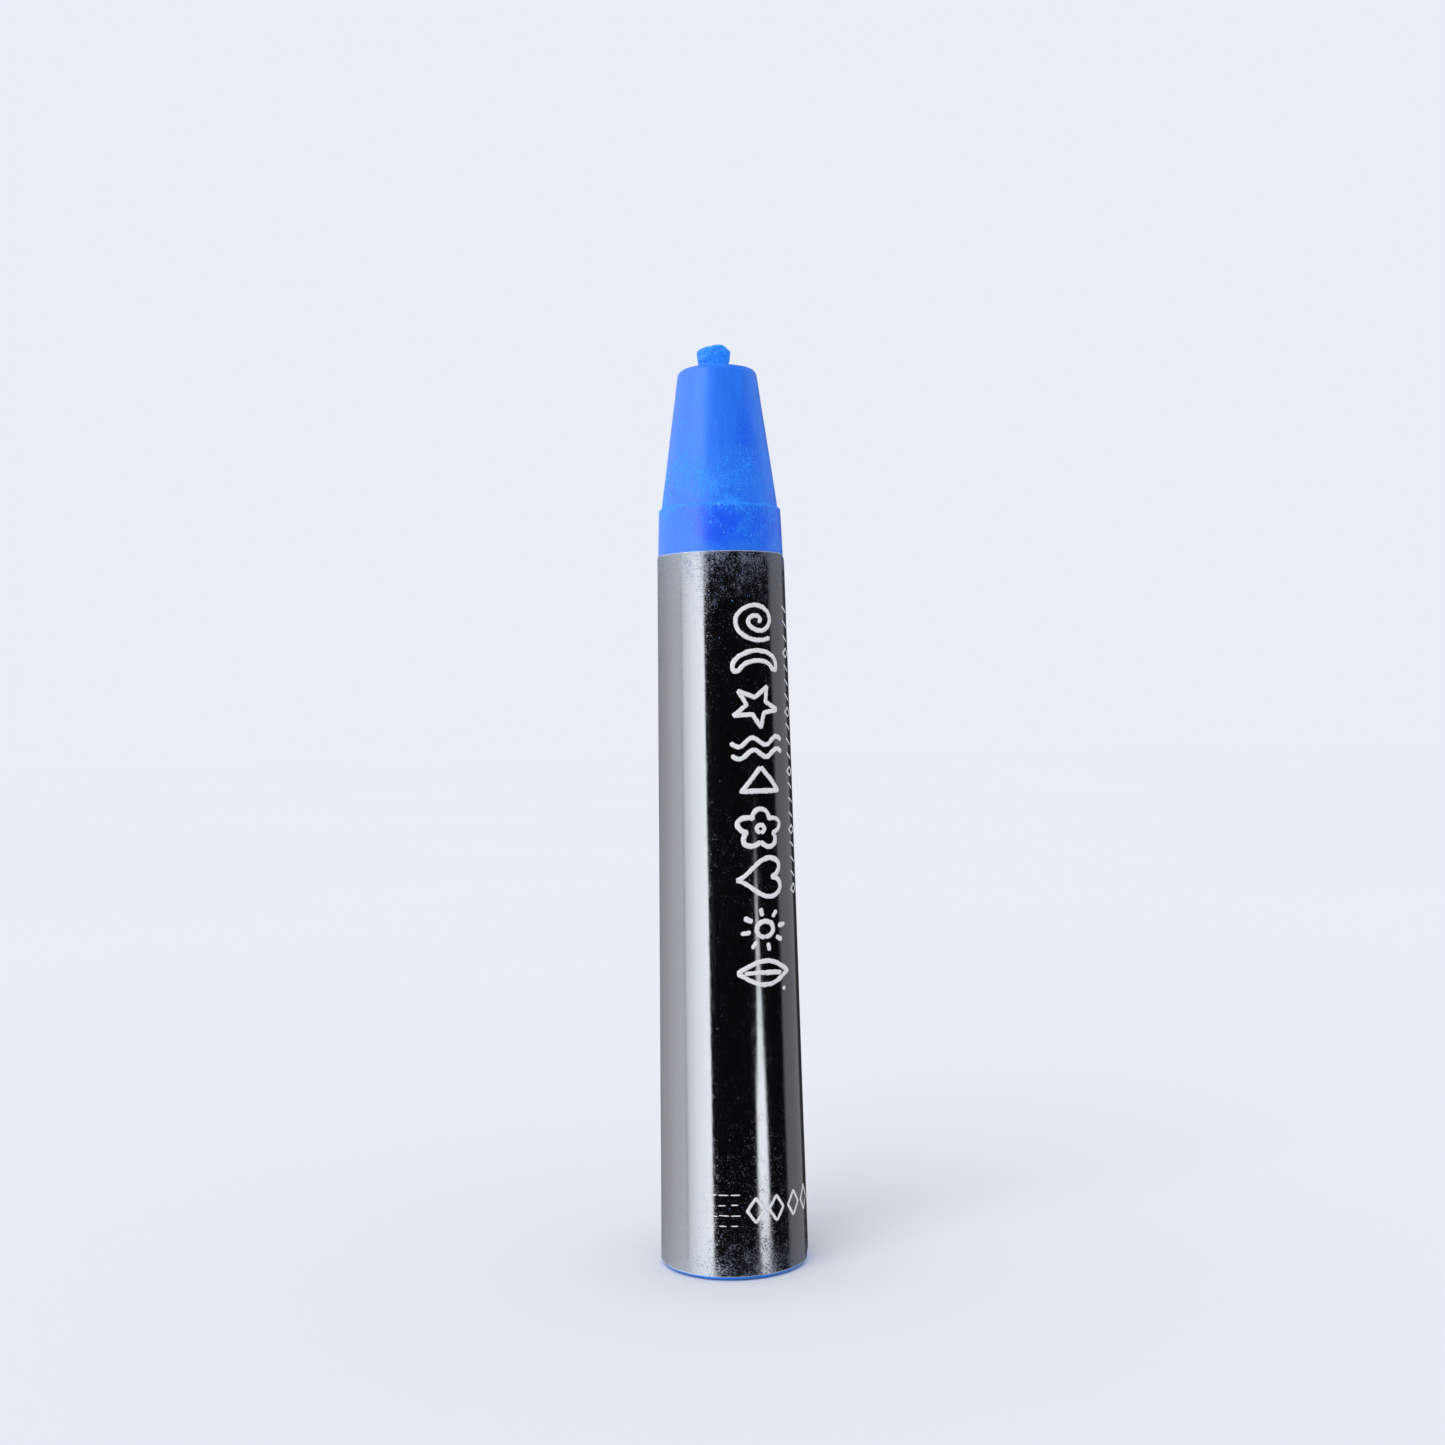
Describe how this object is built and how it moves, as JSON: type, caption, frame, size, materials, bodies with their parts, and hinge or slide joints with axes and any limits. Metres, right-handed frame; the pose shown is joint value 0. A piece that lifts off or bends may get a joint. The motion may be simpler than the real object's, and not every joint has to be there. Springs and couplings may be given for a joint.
{
  "type": "crayon",
  "caption": "Thick round tapered pastel crayon with a stepped, blunt conical nose, a short chalky nub at its tip and a glossy black film label wrapped round its barrel.",
  "frame": {"origin": "centre of the flat rear face, which the crayon stands on", "axes": "+Z along the crayon's axis, towards its tip; -Y is the front, as one reads the label; the label's seam is on the +X side"},
  "size_m": [0.0162, 0.0162, 0.1006],
  "materials": {
    "pastel": "waxy royal-blue pastel, smooth from its mould, powdery azure where it is rubbed or broken",
    "label_film": "glossy black printed film",
    "label_print": "matt chalk-white ink"
  },
  "bodies": {
    "root": {"stick": "pastel", "label": "label_film"}
  },
  "joints": []
}
